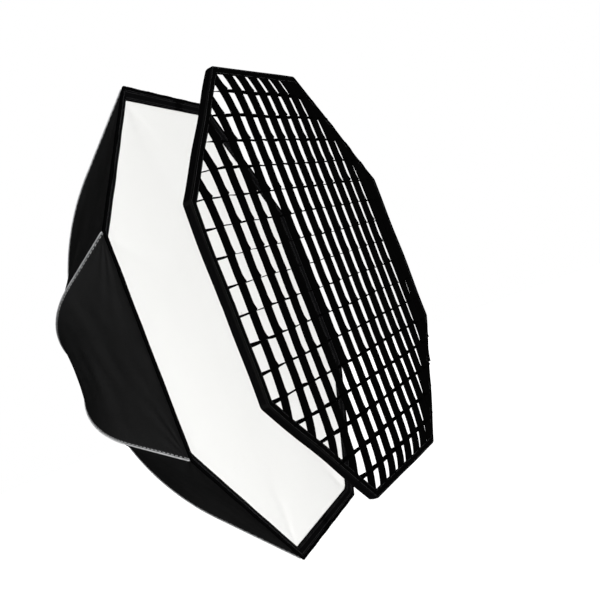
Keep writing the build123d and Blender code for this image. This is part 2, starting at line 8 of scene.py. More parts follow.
import bpy
import numpy as np
from mathutils import Matrix, Vector


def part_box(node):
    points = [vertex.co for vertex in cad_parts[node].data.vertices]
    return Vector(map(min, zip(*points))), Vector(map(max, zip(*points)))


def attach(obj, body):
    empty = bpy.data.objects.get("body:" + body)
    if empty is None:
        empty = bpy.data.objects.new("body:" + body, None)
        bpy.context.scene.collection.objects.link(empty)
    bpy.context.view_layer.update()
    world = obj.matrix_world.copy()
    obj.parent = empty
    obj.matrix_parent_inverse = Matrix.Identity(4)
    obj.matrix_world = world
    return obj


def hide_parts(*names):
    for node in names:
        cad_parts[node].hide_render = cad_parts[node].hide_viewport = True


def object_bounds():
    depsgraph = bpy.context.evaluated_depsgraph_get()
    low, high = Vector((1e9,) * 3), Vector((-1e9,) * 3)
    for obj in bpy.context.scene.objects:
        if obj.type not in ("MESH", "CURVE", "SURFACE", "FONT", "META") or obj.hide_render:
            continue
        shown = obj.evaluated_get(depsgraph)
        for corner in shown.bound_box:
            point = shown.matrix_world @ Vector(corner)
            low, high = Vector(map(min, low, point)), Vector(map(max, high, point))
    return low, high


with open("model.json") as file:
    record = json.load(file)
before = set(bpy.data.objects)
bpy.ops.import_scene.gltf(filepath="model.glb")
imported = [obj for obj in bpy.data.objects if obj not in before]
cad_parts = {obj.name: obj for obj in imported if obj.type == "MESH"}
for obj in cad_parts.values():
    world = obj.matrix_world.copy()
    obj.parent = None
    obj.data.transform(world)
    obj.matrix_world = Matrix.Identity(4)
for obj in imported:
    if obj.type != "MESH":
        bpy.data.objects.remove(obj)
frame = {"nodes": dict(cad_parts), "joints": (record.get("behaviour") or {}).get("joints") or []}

CAD_LOW, CAD_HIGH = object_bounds()

# sizes, from the frame where it holds them -------------------------------------------------------

SIDES = 8
HALF = math.pi / SIDES
TO_FLAT = math.cos(HALF)  # flat distance over corner radius
FLAT_ANGLES = [2 * HALF * k for k in range(SIDES)]
RIM_ANGLES = [HALF + angle for angle in FLAT_ANGLES]

RIM_LOW, RIM_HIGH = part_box("rim_hem")
RIM_RADIUS = RIM_HIGH.x / TO_FLAT
RIM_Y = RIM_LOW.y
HEM_RADIUS = 0.004
PIPING_HALF = 0.0046  # half the binding's width at the rim
PIPING_TAPER = 0.0012  # how much less that is at the hub
PIPING_RISE = 0.0004  # of the binding's flat sides above and below the seam line
CORD_SHARE = 0.5  # of the binding's width
CORD_HEIGHT = 0.0036
PIPING_BACK = 0.0105  # from the rim corner to the start of the piping, along the seam
HUB_SEAM_RADIUS = 0.110
RIB_FRONT_ANGLE = math.radians(37.3)
RIB_STRAIGHT = 0.300
RIB_BEND_RADIUS = 0.934

BORDER_INNER_RADIUS = 0.712
BORDER_INNER_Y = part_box("front_border")[1].y
DIFFUSER_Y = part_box("front_diffuser")[0].y
DIFFUSER_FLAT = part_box("front_diffuser")[1].x
INNER_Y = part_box("inner_diffuser")[0].y
INNER_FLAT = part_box("inner_diffuser")[1].x

JOINTS = {joint["name"]: joint for joint in frame["joints"]}
GRID_HINGE = np.array(JOINTS["grid_swing"]["pos_m"])
GRID_YAW = math.radians(JOINTS["grid_swing"]["range_deg"][1])
GRID_LOW, GRID_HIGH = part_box("grid_border")
GRID_FLAT = (GRID_HIGH.z - GRID_LOW.z) / 2
GRID_HINGE_OUT = 0.0024  # from the border's face to the hinge line
GRID_CELLS = 17
GRID_WALL = 0.0015
GRID_HALF_DEPTH = 0.012
GRID_FLANGE_WIDTH = 0.022
CELL = 2 * (GRID_FLAT - GRID_WALL) / GRID_CELLS
STRIP_PLACES = [(k + 1 - GRID_CELLS / 2) * CELL for k in range(GRID_CELLS - 1)]


# camera ------------------------------------------------------------------------------------------

CAMERA_PLACE = Vector((-3.525, -1.360, -0.048))  # from the rim's middle, in rim radii
CAMERA_HEADING = math.radians(71.95)  # from +Y towards +X
CAMERA_PITCH = math.radians(0.2)
CAMERA_ROLL = math.radians(21.0)
CAMERA_LENS = 56.3


def make_camera():
    data = bpy.data.cameras.new("camera")
    data.lens = CAMERA_LENS
    data.sensor_width = 36
    data.clip_end = 100
    camera = bpy.data.objects.new("camera", data)
    bpy.context.scene.collection.objects.link(camera)
    forward = Vector((math.sin(CAMERA_HEADING) * math.cos(CAMERA_PITCH),
                      math.cos(CAMERA_HEADING) * math.cos(CAMERA_PITCH), math.sin(CAMERA_PITCH)))
    turn = forward.to_track_quat("-Z", "Y").to_matrix() @ Matrix.Rotation(CAMERA_ROLL, 3, "Z").transposed()
    place = Vector((0, RIM_Y, 0)) + RIM_RADIUS * CAMERA_PLACE
    camera.matrix_world = Matrix.Translation(place) @ turn.to_4x4()
    bpy.context.scene.camera = camera


make_camera()


# meshes ------------------------------------------------------------------------------------------

def add_mesh(name, vertices, faces, uvs, materials):
    """New object with a UV map in metres, smooth shaded."""
    mesh = bpy.data.meshes.new(name)
    mesh.from_pydata(vertices.tolist(), [], faces.tolist())
    layer = mesh.uv_layers.new(name="cloth")
    layer.data.foreach_set("uv", np.ascontiguousarray(uvs, np.float32).ravel())
    for material in materials:
        mesh.materials.append(material)
    mesh.shade_smooth()
    thing = bpy.data.objects.new(name, mesh)
    bpy.context.scene.collection.objects.link(thing)
    return thing


def steps(points, axis, closed):
    """Length along one axis of an array of points, at each of its lines."""
    gaps = np.linalg.norm(np.diff(points, axis=axis), axis=2).mean(1 - axis)
    if closed:
        back = points.take(0, axis) - points.take(-1, axis)
        gaps = np.append(gaps, np.linalg.norm(back, axis=-1).mean())
    return np.concatenate([[0], np.cumsum(gaps)])


def quads(points, wrap_rows=False, wrap_columns=False, flip=False, first=0):
    """Faces and their UVs over a (rows, columns, 3) array of points."""
    rows, columns = points.shape[:2]
    r, c = np.meshgrid(np.arange(rows if wrap_rows else rows - 1),
                       np.arange(columns if wrap_columns else columns - 1), indexing="ij")
    corners = [(r, c), (r + 1, c), (r + 1, c + 1), (r, c + 1)]
    if flip:
        corners.reverse()
    faces = np.stack([(a % rows) * columns + b % columns for a, b in corners], -1).reshape(-1, 4)
    v, u = steps(points, 0, wrap_rows), steps(points, 1, wrap_columns)
    uvs = np.stack([np.stack([u[b], v[a]], -1) for a, b in corners], 2).reshape(-1, 2)
    return faces + first, uvs


def surface(name, points, materials, **options):
    faces, uvs = quads(points, **options)
    return add_mesh(name, points.reshape(-1, 3), faces, uvs, materials)


def joined(name, parts, materials, **options):
    """One object from several arrays of points."""
    vertices, faces, uvs, first = [], [], [], 0
    for points in parts:
        f, uv = quads(points, first=first, **options)
        vertices.append(points.reshape(-1, 3))
        faces.append(f)
        uvs.append(uv)
        first += points.shape[0] * points.shape[1]
    return add_mesh(name, np.concatenate(vertices), np.concatenate(faces), np.concatenate(uvs), materials)


def thicken(thing, thickness, inner=0):
    """Give a sheet its thickness, towards its back. inner is the material of the back."""
    solid = thing.modifiers.new("thickness", "SOLIDIFY")
    solid.thickness = thickness
    solid.offset = -1
    solid.material_offset = inner
    return thing


def waves(u, v, wavelength, seed, count=7):
    """Smooth random height, mostly from -1 to 1, from sines in seeded directions."""
    rng = np.random.default_rng(seed)
    total = 0
    for _ in range(count):
        angle, phase = rng.uniform(0, 2 * np.pi, 2)
        k = 2 * np.pi / (wavelength * rng.uniform(0.7, 1.5))
        total = total + np.sin(k * (u * np.cos(angle) + v * np.sin(angle)) + phase)
    return total / math.sqrt(count)


def direction(angle):
    """Unit vector away from the axis at an angle from +X towards +Z."""
    return np.array([math.cos(angle), 0, math.sin(angle)])


def sideways(angle):
    return np.array([-math.sin(angle), 0, math.cos(angle)])


def octagon_loop(flat, fillets, y, per_side=90, per_corner=6):
    """Points round an octagon with rounded corners. flat is the distance from its middle to a side."""
    loop = []
    fillets = np.broadcast_to(fillets, SIDES)
    reaches = (flat - fillets) * math.tan(HALF)
    for k, angle in enumerate(FLAT_ANGLES):
        along = np.linspace(-reaches[k - 1], reaches[k], per_side)[:, None]
        loop.append(flat * direction(angle) + along * sideways(angle))
        centre = (flat - fillets[k]) / TO_FLAT * direction(angle + HALF)
        for turn in np.linspace(angle, angle + 2 * HALF, per_corner + 2)[1:-1]:
            loop.append((centre + fillets[k] * direction(turn))[None])
    points = np.concatenate(loop)
    points[:, 1] = y
    return points


def band_section(line, thickness, cap=4):
    """Closed outline of a band with rounded ends, from its centre line as (flat, y) points."""
    line = np.array(line, float)
    run = np.gradient(line, axis=0)
    run /= np.linalg.norm(run, axis=1)[:, None]
    normal = np.stack([-run[:, 1], run[:, 0]], 1)
    half = thickness / 2
    outline = list(line + half * normal)
    for end, side in ((-1, 1), (0, -1)):
        for turn in np.linspace(0, np.pi, cap + 2)[1:-1]:
            aside = side * np.cos(turn) * normal[end] + side * np.sin(turn) * run[end]
            outline.append(line[end] + half * aside)
        if side == 1:
            outline += list((line - half * normal)[::-1])
    return np.array(outline)


def round_section(flat, y, radius, count):
    """Outline of a cord as (flat, y) points."""
    turn = np.arange(count) * 2 * np.pi / count
    return np.stack([flat + radius * np.cos(turn), y + radius * np.sin(turn)], 1)


def octagon_sweep(section, fillet):
    """Loops of points for a closed section of (flat, y) points. fillet gives each flat's corner radius."""
    return np.stack([octagon_loop(flat, fillet(flat), y) for flat, y in section])


def outward_of(points):
    """Unit vectors away from the axis at these points."""
    out = points * np.array([1, 0, 1])
    return out / np.linalg.norm(out, axis=-1, keepdims=True)


def round_angle(points):
    return np.arctan2(points[..., 2], points[..., 0])


# rib line ----------------------------------------------------------------------------------------

def rib_end_angle():
    """Angle to the axis at which the bend meets the hub's radius."""
    bend_start = RIM_RADIUS - RIB_STRAIGHT * math.sin(RIB_FRONT_ANGLE)
    return math.acos(math.cos(RIB_FRONT_ANGLE) - (bend_start - HUB_SEAM_RADIUS) / RIB_BEND_RADIUS)


RIB_LENGTH = RIB_STRAIGHT + RIB_BEND_RADIUS * (rib_end_angle() - RIB_FRONT_ANGLE)


def rib_station(length):
    """Radius, y and angle to the axis of the seam line at these lengths from the rim."""
    straight = np.minimum(length, RIB_STRAIGHT)
    turn = RIB_FRONT_ANGLE + (length - straight) / RIB_BEND_RADIUS
    radius = (RIM_RADIUS - straight * math.sin(RIB_FRONT_ANGLE)
              - RIB_BEND_RADIUS * (math.cos(RIB_FRONT_ANGLE) - np.cos(turn)))
    y = (RIM_Y + straight * math.cos(RIB_FRONT_ANGLE)
         + RIB_BEND_RADIUS * (np.sin(turn) - math.sin(RIB_FRONT_ANGLE)))
    return radius, y, turn


# materials ---------------------------------------------------------------------------------------

def node(tree, kind, inputs=(), **settings):
    """Add a node. An input is a number, a colour or another node's output."""
    new = tree.nodes.new(kind)
    for key, value in settings.items():
        setattr(new, key, value)
    for key, value in dict(inputs).items():
        if isinstance(value, bpy.types.NodeSocket):
            tree.links.new(value, new.inputs[key])
        else:
            new.inputs[key].default_value = value
    return new


def material(name, **shader):
    """New material with one Principled shader. A shader input's spaces are written as underscores."""
    made = bpy.data.materials.new(name)
    made.use_nodes = True
    tree = made.node_tree
    bsdf = tree.nodes["Principled BSDF"]
    for key, value in shader.items():
        bsdf.inputs[key.replace("_", " ")].default_value = value
    return made, tree, bsdf


def math_node(tree, operation, a, b=0.0):
    return node(tree, "ShaderNodeMath", {0: a, 1: b}, operation=operation).outputs[0]


def mixed(tree, factor, a, b):
    """Colour between a and b."""
    made = node(tree, "ShaderNodeMix", {0: factor}, data_type="RGBA")
    for index, colour in ((6, a), (7, b)):
        if isinstance(colour, bpy.types.NodeSocket):
            tree.links.new(colour, made.inputs[index])
        else:
            made.inputs[index].default_value = (*colour, 1)
    return made.outputs[2]


def ranged(tree, value, low, high, from_low=0.0, from_high=1.0):
    return node(tree, "ShaderNodeMapRange", {"Value": value, "From Min": from_low, "From Max": from_high,
                                             "To Min": low, "To Max": high}).outputs[0]


def noise(tree, vector, scale, detail=3.0, roughness=0.55):
    return node(tree, "ShaderNodeTexNoise", {"Vector": vector, "Scale": scale, "Detail": detail,
                                             "Roughness": roughness}).outputs[0]


def bump(tree, height, distance, strength=1.0, normal=None):
    inputs = {"Height": height, "Distance": distance, "Strength": strength}
    if normal is not None:
        inputs["Normal"] = normal
    return node(tree, "ShaderNodeBump", inputs).outputs[0]


def scaled(colour, factor):
    return tuple(min(1.0, c * factor) for c in colour)


def fabric(name, colour, thread=0.0012, uneven=0.18, rough=(0.7, 0.9), relief=0.00012, crinkle=0.0003,
           crinkle_size=0.03, **shader):
    """Plain weave from the cloth UV: two crossing sets of threads, uneven dye and fine creasing."""
    made, tree, bsdf = material(name, **shader)
    uv = node(tree, "ShaderNodeUVMap", uv_map="cloth").outputs[0]
    split = node(tree, "ShaderNodeSeparateXYZ", {0: uv})
    warp = math_node(tree, "SINE", math_node(tree, "MULTIPLY", split.outputs[0], 2 * math.pi / thread))
    weft = math_node(tree, "SINE", math_node(tree, "MULTIPLY", split.outputs[1], 2 * math.pi / thread))
    weave = math_node(tree, "MULTIPLY", warp, weft)
    blotch = noise(tree, uv, 9.0, 4.0)
    slub = noise(tree, uv, 240.0, 2.0)
    dye = mixed(tree, blotch, scaled(colour, 1 - uneven), scaled(colour, 1 + uneven))
    threads = ranged(tree, weave, 0.25, 0.0, -1.0, 1.0)
    tree.links.new(mixed(tree, threads, dye, scaled(colour, 0.55)), bsdf.inputs["Base Color"])
    tree.links.new(ranged(tree, slub, *rough), bsdf.inputs["Roughness"])
    creases = noise(tree, uv, 1 / crinkle_size, 5.0, 0.6)
    relief_of_threads = bump(tree, weave, relief, 0.6)
    tree.links.new(bump(tree, creases, crinkle, 1.0, relief_of_threads), bsdf.inputs["Normal"])
    return made


def webbing(name, colour, rib=0.0016, **shader):
    """Coarse ribbed tape."""
    made, tree, bsdf = material(name, **shader)
    uv = node(tree, "ShaderNodeTexCoord").outputs["Object"]
    split = node(tree, "ShaderNodeSeparateXYZ", {0: uv})
    per_metre = 2 * math.pi / rib
    ribs = [math_node(tree, "SINE", math_node(tree, "MULTIPLY", out, per_metre)) for out in split.outputs]
    weave = math_node(tree, "ADD", math_node(tree, "MULTIPLY", ribs[0], ribs[1]),
                      math_node(tree, "MULTIPLY", ribs[1], ribs[2]))
    fuzz = noise(tree, uv, 900.0, 2.0)
    tone = math_node(tree, "ADD", math_node(tree, "MULTIPLY", weave, 0.2), fuzz)
    tree.links.new(mixed(tree, tone, scaled(colour, 0.6), scaled(colour, 1.4)), bsdf.inputs["Base Color"])
    tree.links.new(ranged(tree, fuzz, 0.7, 0.95), bsdf.inputs["Roughness"])
    tree.links.new(bump(tree, weave, 0.0002, 0.8, bump(tree, fuzz, 0.0001)), bsdf.inputs["Normal"])
    return made


def metal(name, colour, rough=(0.22, 0.36), streak=(60.0, 60.0, 60.0), grain=0.00002, **shader):
    """Bare metal with turning marks. streak is the noise scale in radius, along the axis and round it."""
    made, tree, bsdf = material(name, Metallic=1.0, **shader)
    place = node(tree, "ShaderNodeTexCoord").outputs["Object"]
    split = node(tree, "ShaderNodeSeparateXYZ", {0: place})
    x, y, z = split.outputs
    radius = math_node(tree, "SQRT", math_node(tree, "ADD", math_node(tree, "MULTIPLY", x, x),
                                               math_node(tree, "MULTIPLY", z, z)))
    angle = math_node(tree, "ARCTAN2", z, x)
    places = zip((radius, y, angle), streak)
    stretched = [math_node(tree, "MULTIPLY", value, scale) for value, scale in places]
    turned = node(tree, "ShaderNodeCombineXYZ", dict(enumerate(stretched))).outputs[0]
    lines = noise(tree, turned, 1.0, 6.0, 0.65)
    stain = noise(tree, place, 35.0, 3.0)
    tree.links.new(mixed(tree, stain, scaled(colour, 0.86), scaled(colour, 1.06)), bsdf.inputs["Base Color"])
    wear = math_node(tree, "ADD", math_node(tree, "MULTIPLY", lines, 0.7),
                     math_node(tree, "MULTIPLY", stain, 0.3))
    tree.links.new(ranged(tree, wear, *rough), bsdf.inputs["Roughness"])
    tree.links.new(bump(tree, lines, grain, 0.5), bsdf.inputs["Normal"])
    return made


def plastic(name, colour, rough=(0.35, 0.55), **shader):
    """Moulded plastic with a fine spark-eroded grain."""
    made, tree, bsdf = material(name, **shader)
    place = node(tree, "ShaderNodeTexCoord").outputs["Object"]
    grain = noise(tree, place, 1400.0, 2.0)
    tone = noise(tree, place, 60.0, 3.0)
    tree.links.new(mixed(tree, tone, scaled(colour, 0.85), scaled(colour, 1.15)), bsdf.inputs["Base Color"])
    tree.links.new(ranged(tree, grain, *rough), bsdf.inputs["Roughness"])
    tree.links.new(bump(tree, grain, 0.00005, 0.6), bsdf.inputs["Normal"])
    return made


def binding(name, light, dark, pitch, **shader):
    """Bright binding with dark edges and a dark sewn row on either side of its cord.

    Its UV runs from -1 to 1 across and in metres along. pitch is the slanting strands' spacing; the colour is
    darker between the strands, as painted shade.
    """
    made, tree, bsdf = material(name, **shader)
    uv = node(tree, "ShaderNodeUVMap", uv_map="cloth").outputs[0]
    split = node(tree, "ShaderNodeSeparateXYZ", {0: uv})
    away = math_node(tree, "ABSOLUTE", split.outputs[0])
    from_row = math_node(tree, "ABSOLUTE", math_node(tree, "SUBTRACT", away, CORD_SHARE))
    row = ranged(tree, from_row, 0.15, 1.0, 0.04, 0.09)
    edge = ranged(tree, away, 1.0, 0.0, 0.84, 0.95)
    bright = math_node(tree, "MULTIPLY", row, edge)
    turns = math_node(tree, "MULTIPLY", split.outputs[0], 3.0)
    slant = math_node(tree, "ADD", turns, math_node(tree, "MULTIPLY", split.outputs[1], 2 * math.pi / pitch))
    strands = math_node(tree, "SINE", slant)
    place = node(tree, "ShaderNodeTexCoord").outputs["Object"]
    wear = noise(tree, place, 45.0, 4.0)
    shade = math_node(tree, "MULTIPLY", bright, ranged(tree, wear, 0.72, 1.0, 0.35, 0.6))
    # painted shade: darker between the slanting strands
    shade = math_node(tree, "MULTIPLY", shade, ranged(tree, strands, 0.82, 1.0, -1.0, 1.0))
    tree.links.new(mixed(tree, shade, dark, light), bsdf.inputs["Base Color"])
    tree.links.new(bump(tree, strands, 0.0001, 0.7), bsdf.inputs["Normal"])
    return made


SHELL = fabric("shell_nylon", (0.033, 0.033, 0.0335), rough=(0.5, 0.65), Specular_IOR_Level=0.0)
LINING = fabric("silver_lining", (0.62, 0.63, 0.64), rough=(0.3, 0.5), Metallic=0.6)
BLACK_TRIM = fabric("rim_nylon", (0.0014, 0.0014, 0.0015), thread=0.0016, crinkle_size=0.015,
                    Specular_IOR_Level=0.0)
GRID_CLOTH = fabric("grid_cloth", (0.0013, 0.0013, 0.0013), thread=0.0014, crinkle_size=0.02,
                    Specular_IOR_Level=0.0)
# painted light: a lighter copy of the grid cloth for the border's wall, standing in for light on its outer
# face
GRID_WALL_PAINTED_LIGHT = fabric("grid_wall_painted_light_cloth", (0.0060, 0.0060, 0.0061), thread=0.0018, crinkle_size=0.015,
                   Specular_IOR_Level=0.0)
WHITE = fabric("diffuser_nylon", (0.89, 0.89, 0.872), thread=0.0009, uneven=0.012, rough=(0.75, 0.9),
               crinkle=0.0004, crinkle_size=0.12, Specular_IOR_Level=0.05)
INNER_WHITE = fabric("inner_diffuser_nylon", (0.84, 0.84, 0.82), thread=0.0009, uneven=0.02,
                     Specular_IOR_Level=0.2)
PIPING = binding("silver_binding", (0.86, 0.87, 0.88), (0.010, 0.010, 0.011), 0.003, Roughness=0.45,
                 Metallic=0.35)
THREAD = webbing("sewing_thread", (0.03, 0.03, 0.032), rib=0.0006)
TAPE = webbing("hook_tape_pile", (0.0030, 0.0030, 0.0032), rib=0.0022, Specular_IOR_Level=0.0)
STRAP = webbing("black_webbing", (0.012, 0.012, 0.013))
ELASTIC = webbing("white_elastic", (0.55, 0.55, 0.53), rib=0.0012)
SPUN = metal("spun_steel", (0.70, 0.70, 0.71), streak=(900.0, 900.0, 1.2), Anisotropic=0.4)
ZINC = metal("zinc_plate", (0.62, 0.63, 0.65), rough=(0.25, 0.45), streak=(250.0, 250.0, 25.0))
KNOB = metal("knob_nickel", (0.76, 0.76, 0.76), rough=(0.2, 0.38), streak=(700.0, 700.0, 30.0))
CAST = metal("cast_aluminium", (0.42, 0.43, 0.44), rough=(0.45, 0.62), streak=(300.0, 300.0, 40.0),
             grain=0.00008)
ROD = plastic("fibreglass_rod", (0.20, 0.20, 0.19), rough=(0.25, 0.4))
CAP = plastic("black_plastic", (0.012, 0.012, 0.013))


def finish_piece(thing, body, nodes):
    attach(thing, body)
    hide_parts(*nodes)
    return thing


def coat(cad_nodes, finish):
    """Put a material on CAD nodes that stay shown."""
    for name in cad_nodes:
        mesh = frame["nodes"][name].data
        mesh.materials.clear()
        mesh.materials.append(finish)


# stitching ---------------------------------------------------------------------------------------

STITCH_RINGS = ((-1.0, 0.15), (-0.7, 0.8), (0.0, 1.0), (0.7, 0.8), (1.0, 0.15))  # place and radius, as shares
STITCH_SIDES = 5


def stitch_rows(name, lines, finish, pitch=0.0045, length=0.0033, radius=0.0004):
    """A row of sewn stitches along each line of points, as small rounded bars."""
    rings = np.array(STITCH_RINGS)
    turn = np.arange(STITCH_SIDES) * 2 * np.pi / STITCH_SIDES
    bars = []
    for line in lines:
        lengths = np.concatenate([[0], np.cumsum(np.linalg.norm(np.diff(line, axis=0), axis=1))])
        middles = np.arange(pitch / 2, lengths[-1], pitch)
        place = np.stack([np.interp(middles, lengths, line[:, i]) for i in range(3)], 1)
        ahead = np.stack([np.interp(middles + pitch / 2, lengths, line[:, i]) for i in range(3)], 1)
        run = ahead - place
        run /= np.linalg.norm(run, axis=1)[:, None] + 1e-9
        side = np.cross(run, [0.3, 0.5, 0.81])
        side /= np.linalg.norm(side, axis=1)[:, None] + 1e-9
        other = np.cross(run, side)
        for p, r, s, o in zip(place, run, side, other):
            ring = np.cos(turn)[:, None] * s + np.sin(turn)[:, None] * o
            stem = rings[:, 0, None, None] * r * length / 2
            bars.append(p + stem + rings[:, 1, None, None] * radius * ring)
    return joined(name, bars, [finish], wrap_columns=True)


# shell -------------------------------------------------------------------------------------------

GORE_FRONT = 0.0095  # from the rim to the front edge of a gore
SEAM_GAP = 0.0012
GORE_ROWS = 200
GORE_COLUMNS = 64
LINING_THICKNESS = 0.0008


def gore_folds(length, across, side, from_seam, seed):
    """Height of a gore's folds: seam puckers, gathers at the rim, waves, and creases at its corners."""
    loose = 1 - across ** 2
    from_rim = length - GORE_FRONT
    phase = 1.6 * waves(length, np.sign(side) * 0.4, 0.15, seed + 1)
    puckers = 0.0009 * np.exp(-from_seam / 0.011) * np.sin(2 * np.pi * length / 0.019 + phase)
    gather = np.sin(2 * np.pi * side / 0.024 + waves(side, 0 * side, 0.12, seed + 2))
    gathers = 0.0008 * np.exp(-from_rim / 0.016) * gather
    broad = 0.0022 * loose * waves(length, side, 0.30, seed + 3)
    fine = 0.0007 * loose * waves(length, side, 0.09, seed + 4)
    reach = np.hypot(from_rim, from_seam)
    bearing = np.arctan2(from_seam, from_rim + 1e-6)
    fan = np.sin(15 * bearing + seed) * np.sin(2 * bearing)
    fan = 0.0020 * fan * np.exp(-reach / 0.11) * np.clip(reach / 0.03, 0, 1)
    return puckers + gathers + broad + fine + fan


def gore_points(angle, length, across, seed=None):
    """Fabric between two ribs. across runs from -1 to 1; the cloth pulls in between the ribs.

    Without a seed it is smooth, for the stitches that follow it.
    """
    radius, y, turn = rib_station(length)
    half = radius * math.sin(HALF) - SEAM_GAP
    side = across * half
    lean = np.arctan2(np.sin(turn) * TO_FLAT, np.cos(turn))
    share = length / RIB_LENGTH
    lift = -(0.003 + 0.013 * np.sin(np.pi * np.clip(share, 0, 1)) ** 2) * (1 - across ** 2)
    if seed is not None:
        lift = lift + gore_folds(length, across, side, half - np.abs(side), seed)
    outward = direction(angle)
    return (((radius * TO_FLAT + lift * np.cos(lean))[..., None] * outward)
            + side[..., None] * sideways(angle)
            + (y + lift * np.sin(lean))[..., None] * np.array([0, 1, 0]))


def make_gore(number, angle):
    length = np.linspace(GORE_FRONT, RIB_LENGTH, GORE_ROWS)[:, None]
    t = np.linspace(-1, 1, GORE_COLUMNS)
    across = (0.35 * t + 0.65 * (1.5 * t - 0.5 * t ** 3))[None]
    length, across = np.broadcast_arrays(length, across)
    points = gore_points(angle, length, across, seed=40 * number)
    gore = surface(f"gore_{number}", points, [SHELL, LINING])
    thicken(gore, LINING_THICKNESS, 1)
    finish_piece(gore, "octabox", [f"shell_gore_{number}"])


def make_piping(number, angle):
    """Flat binding along a seam, over a cord in its middle. Its UV runs from -1 to 1 across it."""
    lengths = np.arange(PIPING_BACK, RIB_LENGTH, 0.0020)[:, None]
    radius, y, turn = rib_station(lengths)
    upper = np.linspace(-1, 1, 21)
    under = np.linspace(0.98, -0.98, 7)
    across = np.concatenate([upper, under])[None]
    top = np.arange(across.size)[None] < upper.size
    half = PIPING_HALF - PIPING_TAPER * np.clip(lengths / RIB_LENGTH, 0, 1)
    cord = np.sqrt(np.clip(1 - (across / CORD_SHARE) ** 2, 0, 1))
    strands = 0.00012 * np.sin(2 * np.pi * (lengths / 0.005 + across)) * cord
    ends = np.clip((lengths - PIPING_BACK) / 0.006, 0.3, 1) * np.clip((RIB_LENGTH - lengths) / 0.05, 0.3, 1)
    height = np.where(top, PIPING_RISE + (CORD_HEIGHT * cord + strands) * ends, -PIPING_RISE)
    side = across * half
    lift = height - np.abs(side) * math.tan(HALF)
    points = ((radius + lift * np.cos(turn))[..., None] * direction(angle)
              + side[..., None] * sideways(angle)
              + (y + lift * np.sin(turn))[..., None] * np.array([0, 1, 0]))
    faces, uvs = quads(points, wrap_columns=True)
    corner = faces.ravel()
    uvs = np.stack([np.broadcast_to(across, side.shape).ravel()[corner],
                    np.broadcast_to(lengths, side.shape).ravel()[corner]], 1)
    piping = add_mesh(f"piping_{number}", points.reshape(-1, 3), faces, uvs, [PIPING])
    finish_piece(piping, "octabox", [f"seam_piping_{number}"])


def make_shell_stitching():
    lines = []
    for angle in FLAT_ANGLES:
        for side in (-1, 1):
            length = np.arange(GORE_FRONT + 0.003, RIB_LENGTH - 0.02, 0.008)
            half = rib_station(length)[0] * math.sin(HALF) - SEAM_GAP
            across = side * (1 - 0.0055 / half)
            lines.append(gore_points(angle, length, across))
        across = np.linspace(-0.985, 0.985, 80)
        lines.append(gore_points(angle, np.full(80, GORE_FRONT + 0.006), across))
    seams = stitch_rows("shell_stitching", lines, THREAD)
    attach(seams, "octabox")


for k in range(SIDES):
    make_gore(k + 1, FLAT_ANGLES[k])
    make_piping(k + 1, RIM_ANGLES[k])
make_shell_stitching()


# rim, border and hook tape -----------------------------------------------------------------------

LOOSE_CORNER = 6  # the border's inner corner that is sewn to the widest curve
BORDER_CLOTH = 0.0015
BORDER_SWAY = 0.0006
BORDER_BEAD = 0.0016
TAPE_SHARES = (0.2, 0.8)  # of the border's width, between which the hook tape lies


def rim_fillet(flat):
    """Corner radii: small at the rim, and wider at the inner edge of the border."""
    inside = np.interp(flat, [BORDER_INNER_RADIUS * TO_FLAT, RIM_RADIUS * TO_FLAT], [1, 0])
    fillets = np.full(SIDES, 0.011 + 0.003 * inside)
    fillets[LOOSE_CORNER] += 0.030 * inside
    return fillets


def make_rim():
    section = round_section(RIM_RADIUS * TO_FLAT - HEM_RADIUS, RIM_Y + HEM_RADIUS, HEM_RADIUS, 14)
    points = octagon_sweep(section, rim_fillet)
    angle = round_angle(points)
    pucker = 0.0004 * np.sin(angle * 190 + 2 * np.sin(angle * 23)) + 0.0005 * np.sin(angle * 37)
    points += (pucker - 0.0004)[..., None] * outward_of(points)
    rim = surface("rim_roll", points, [BLACK_TRIM], wrap_rows=True, wrap_columns=True)
    finish_piece(rim, "octabox", ["rim_hem"])


def border_line(first, last, count, lift=0.0):
    """Centre line of a band on the sloping border, between two fractions of its width."""
    outer = np.array([(RIM_RADIUS - 2 * HEM_RADIUS) * TO_FLAT - 0.001, RIM_Y + HEM_RADIUS])
    inner = np.array([BORDER_INNER_RADIUS * TO_FLAT, BORDER_INNER_Y - 0.0015])
    run = inner - outer
    front = np.array([run[1], -run[0]]) / np.linalg.norm(run)
    if front[1] > 0:
        front = -front
    share = np.linspace(first, last, count)[:, None]
    return outer + share * run + lift * front


def border_band(name, section, finish, sway=0.0):
    """Piece that follows the border round the octagon. sway is how far its cloth is out of flat."""
    points = octagon_sweep(section, rim_fillet)
    angle = round_angle(points)
    points[..., 1] += sway * waves(angle * 0.7, 0 * angle, 0.16, 5)
    return surface(name, points, [finish], wrap_rows=True, wrap_columns=True)


def make_border():
    border = border_band("border_flap", band_section(border_line(-0.02, 1.0, 9), BORDER_CLOTH), BLACK_TRIM,
                         BORDER_SWAY)
    finish_piece(border, "octabox", ["front_border"])
    bead = round_section(*border_line(1.0, 1.0, 1)[0], BORDER_BEAD, 10)
    roll = border_band("border_bead", bead, BLACK_TRIM, BORDER_SWAY)
    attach(roll, "octabox")
    tape = border_band("border_tape", band_section(border_line(*TAPE_SHARES, 5, 0.0012), 0.0008), TAPE)
    finish_piece(tape, "octabox", ["border_hook_tape"])


def make_border_stitching():
    rows = []
    for share in (0.10, 0.25, 0.75, 0.90):
        on_tape = TAPE_SHARES[0] < share < TAPE_SHARES[1]
        flat, y = border_line(share, share, 1, 0.0016 if on_tape else 0.001)[0]
        loop = octagon_loop(flat, rim_fillet(flat), y)
        rows.append(np.concatenate([loop, loop[:1]]))
    sewing = stitch_rows("border_stitching", rows, THREAD)
    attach(sewing, "octabox")


make_rim()
make_border()
make_border_stitching()


# diffusers ---------------------------------------------------------------------------------------

SHEET_THICKNESS = 0.0005
SHEET_LIFT = 0.0006  # from the front of a sheet's CAD solid to its edge


